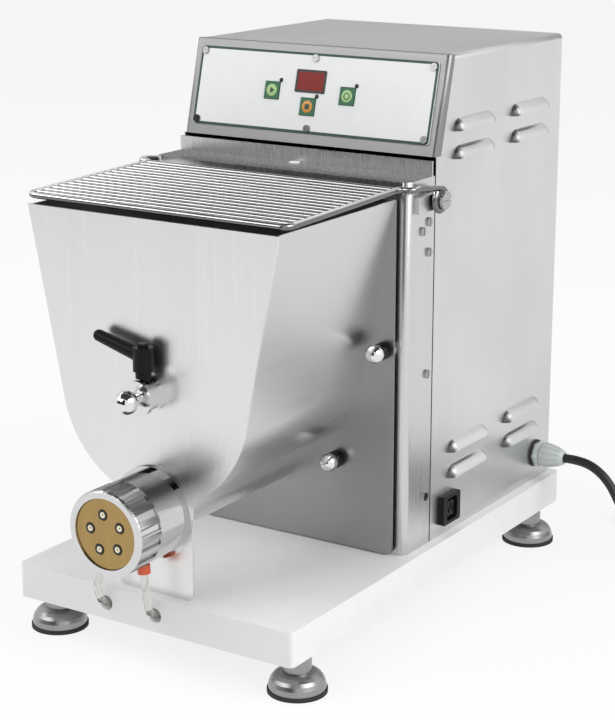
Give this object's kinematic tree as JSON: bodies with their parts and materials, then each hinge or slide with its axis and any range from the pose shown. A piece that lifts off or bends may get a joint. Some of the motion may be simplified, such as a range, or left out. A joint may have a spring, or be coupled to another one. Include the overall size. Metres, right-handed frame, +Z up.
{
  "type": "electric pasta maker",
  "caption": "Tabletop pasta extruder on a footed board: wire-guarded hopper, geared mixer and auger, fluted ring nut with brass die, clamp lever, leaning key panel and louvred housing.",
  "frame": {"origin": "on the resting surface, under the middle of the machine's bounding box, measured without the cord", "axes": "+Z up, -Y towards the front with the ring nut, +X towards the side with the socket and the cord"},
  "size_m": [0.472, 0.5705, 0.454],
  "materials": {
    "board_white": "smooth",
    "foot_metal": "satin",
    "rubber_black": "matt",
    "housing_steel": "brushed",
    "polished_steel": "fine brushed",
    "bright_steel": "polished",
    "alu_nut": "turned",
    "brass_die": "turned",
    "cream_plastic": "smooth",
    "black_plastic": "satin",
    "panel_white": "printed film",
    "panel_rim": "dark brushed",
    "window_red": "clear tinted",
    "key_green": "soft",
    "board_green": "lacquered",
    "hose_clear": "translucent",
    "collar_orange": "smooth",
    "gland_grey": "satin",
    "cord_black": "matt",
    "plate_grey": "satin",
    "gear_steel": "machined",
    "motor_grey": "cast",
    "core_iron": "lacquered",
    "plug_white": "smooth"
  },
  "bodies": {
    "machine": {"base_board": "board_white", "front_frame": "housing_steel", "side_cover": "housing_steel", "rear_panel": "housing_steel", "panel_housing": "panel_rim", "panel_plate": "panel_white", "panel_screws": "bright_steel", "display_window": "window_red", "display_board": "board_green", "cover_screws": "bright_steel", "shelf_plug": "plug_white", "accessory_socket": "black_plastic", "cable_gland": "gland_grey", "gland_nut": "gland_grey", "power_cord": "cord_black", "cord_coil": "cord_black", "plug_body": "cord_black", "transformer": "core_iron", "hopper_trough": "polished_steel", "hopper_front_plate": "polished_steel", "hopper_back_plate": "polished_steel", "auger_channel": "polished_steel", "barrel_head": "bright_steel", "pin_boss": "bright_steel", "hose_left": "hose_clear", "hose_right": "hose_clear", "hose_collars": "collar_orange", "hinge_blocks": "housing_steel", "hinge_pivots": "bright_steel", "gear_plates": "plate_grey", "motor_housing": "motor_grey", "bearings": "bright_steel"},
    "guard": {"guard_frame": "bright_steel", "guard_bars": "bright_steel"},
    "pull_pin": {"mixer_pin": "bright_steel"},
    "lever": {"clamp_lever": "black_plastic"},
    "auger_drive": {"auger": "polished_steel", "auger_gears": "gear_steel"},
    "mixer_drive": {"mixer": "polished_steel", "mixer_gear": "gear_steel"},
    "lay_drive": {"lay_shaft": "gear_steel"},
    "rotor": {"motor_rotor": "core_iron"},
    "die_set": {"die": "brass_die", "die_inserts": "cream_plastic"},
    "nut": {"ring_nut": "alu_nut"},
    "start_key": {"key_start": "key_green"},
    "stop_key": {"key_stop": "key_green"},
    "extrude_key": {"key_extrude": "key_green"},
    "thumb_upper_left": {"knob_upper_left": "bright_steel"},
    "thumb_upper_right": {"knob_upper_right": "bright_steel"},
    "thumb_lower_left": {"knob_lower_left": "bright_steel"},
    "thumb_lower_right": {"knob_lower_right": "bright_steel"},
    "leg_front_left": {"foot_front_left": "foot_metal", "foot_pad_front_left": "rubber_black"},
    "leg_front_right": {"foot_front_right": "foot_metal", "foot_pad_front_right": "rubber_black"},
    "leg_rear_left": {"foot_rear_left": "foot_metal", "foot_pad_rear_left": "rubber_black"},
    "leg_rear_right": {"foot_rear_right": "foot_metal", "foot_pad_rear_right": "rubber_black"}
  },
  "joints": [
    {"name": "guard_open", "type": "hinge", "parent": "machine", "child": "guard", "pos_m": [0, 0.0155, 0.346], "axis": [-1, 0, 0], "range_deg": [0, 70]},
    {"name": "clamp_lever_turn", "type": "hinge", "parent": "machine", "child": "lever", "pos_m": [0, -0.196, 0.24], "axis": [0, 0, 1], "range_deg": [0, 170]},
    {"name": "pin_pull", "type": "slide", "parent": "machine", "child": "pull_pin", "axis": [0, -1, 0], "range_m": [0, 0.035]},
    {"name": "motor_spin", "type": "hinge", "parent": "machine", "child": "rotor", "pos_m": [0.0292, 0.1, 0.16367], "axis": [0, 1, 0], "continuous": true},
    {"name": "lay_spin", "type": "hinge", "parent": "machine", "child": "lay_drive", "pos_m": [0.05545, 0.02, 0.11821], "axis": [0, 1, 0], "continuous": true},
    {"name": "auger_spin", "type": "hinge", "parent": "machine", "child": "auger_drive", "pos_m": [0, -0.1, 0.126], "axis": [0, 1, 0], "continuous": true},
    {"name": "mixer_spin", "type": "hinge", "parent": "machine", "child": "mixer_drive", "pos_m": [0, -0.1, 0.219], "axis": [0, 1, 0], "continuous": true},
    {"name": "nut_turn", "type": "hinge", "parent": "die_set", "child": "nut", "pos_m": [0, -0.234, 0.126], "axis": [0, -1, 0], "range_deg": [0, 1080]},
    {"name": "die_slide", "type": "slide", "parent": "machine", "child": "die_set", "axis": [0, -1, 0], "range_m": [0, 0.012]},
    {"name": "start_press", "type": "slide", "parent": "machine", "child": "start_key", "axis": [0, 0.9679, -0.2514], "range_m": [0, 0.0006], "stiffness_N_per_m": 400},
    {"name": "stop_press", "type": "slide", "parent": "machine", "child": "stop_key", "axis": [0, 0.9679, -0.2514], "range_m": [0, 0.0006], "stiffness_N_per_m": 400},
    {"name": "extrude_press", "type": "slide", "parent": "machine", "child": "extrude_key", "axis": [0, 0.9679, -0.2514], "range_m": [0, 0.0006], "stiffness_N_per_m": 400},
    {"name": "upper_left_turn", "type": "hinge", "parent": "machine", "child": "thumb_upper_left", "pos_m": [-0.103, -0.03, 0.23], "axis": [0, -1, 0], "range_deg": [0, 720]},
    {"name": "upper_right_turn", "type": "hinge", "parent": "machine", "child": "thumb_upper_right", "pos_m": [0.103, -0.03, 0.23], "axis": [0, -1, 0], "range_deg": [0, 720]},
    {"name": "lower_left_turn", "type": "hinge", "parent": "machine", "child": "thumb_lower_left", "pos_m": [-0.061, -0.03, 0.134], "axis": [0, -1, 0], "range_deg": [0, 720]},
    {"name": "lower_right_turn", "type": "hinge", "parent": "machine", "child": "thumb_lower_right", "pos_m": [0.061, -0.03, 0.134], "axis": [0, -1, 0], "range_deg": [0, 720]},
    {"name": "front_left_level", "type": "hinge", "parent": "machine", "child": "leg_front_left", "pos_m": [-0.115, -0.1655, 0.02], "axis": [0, 0, 1], "range_deg": [-180, 180]},
    {"name": "front_right_level", "type": "hinge", "parent": "machine", "child": "leg_front_right", "pos_m": [0.115, -0.1655, 0.02], "axis": [0, 0, 1], "range_deg": [-180, 180]},
    {"name": "rear_left_level", "type": "hinge", "parent": "machine", "child": "leg_rear_left", "pos_m": [-0.115, 0.2165, 0.02], "axis": [0, 0, 1], "range_deg": [-180, 180]},
    {"name": "rear_right_level", "type": "hinge", "parent": "machine", "child": "leg_rear_right", "pos_m": [0.115, 0.2165, 0.02], "axis": [0, 0, 1], "range_deg": [-180, 180]}
  ],
  "couplings": [
    {"joint": "lay_spin", "follows": "motor_spin", "ratio": -0.25},
    {"joint": "auger_spin", "follows": "motor_spin", "ratio": 0.083333},
    {"joint": "mixer_spin", "follows": "motor_spin", "ratio": -0.042683},
    {"joint": "die_slide", "follows": "nut_turn", "m_per_rad": 0.0006366}
  ]
}
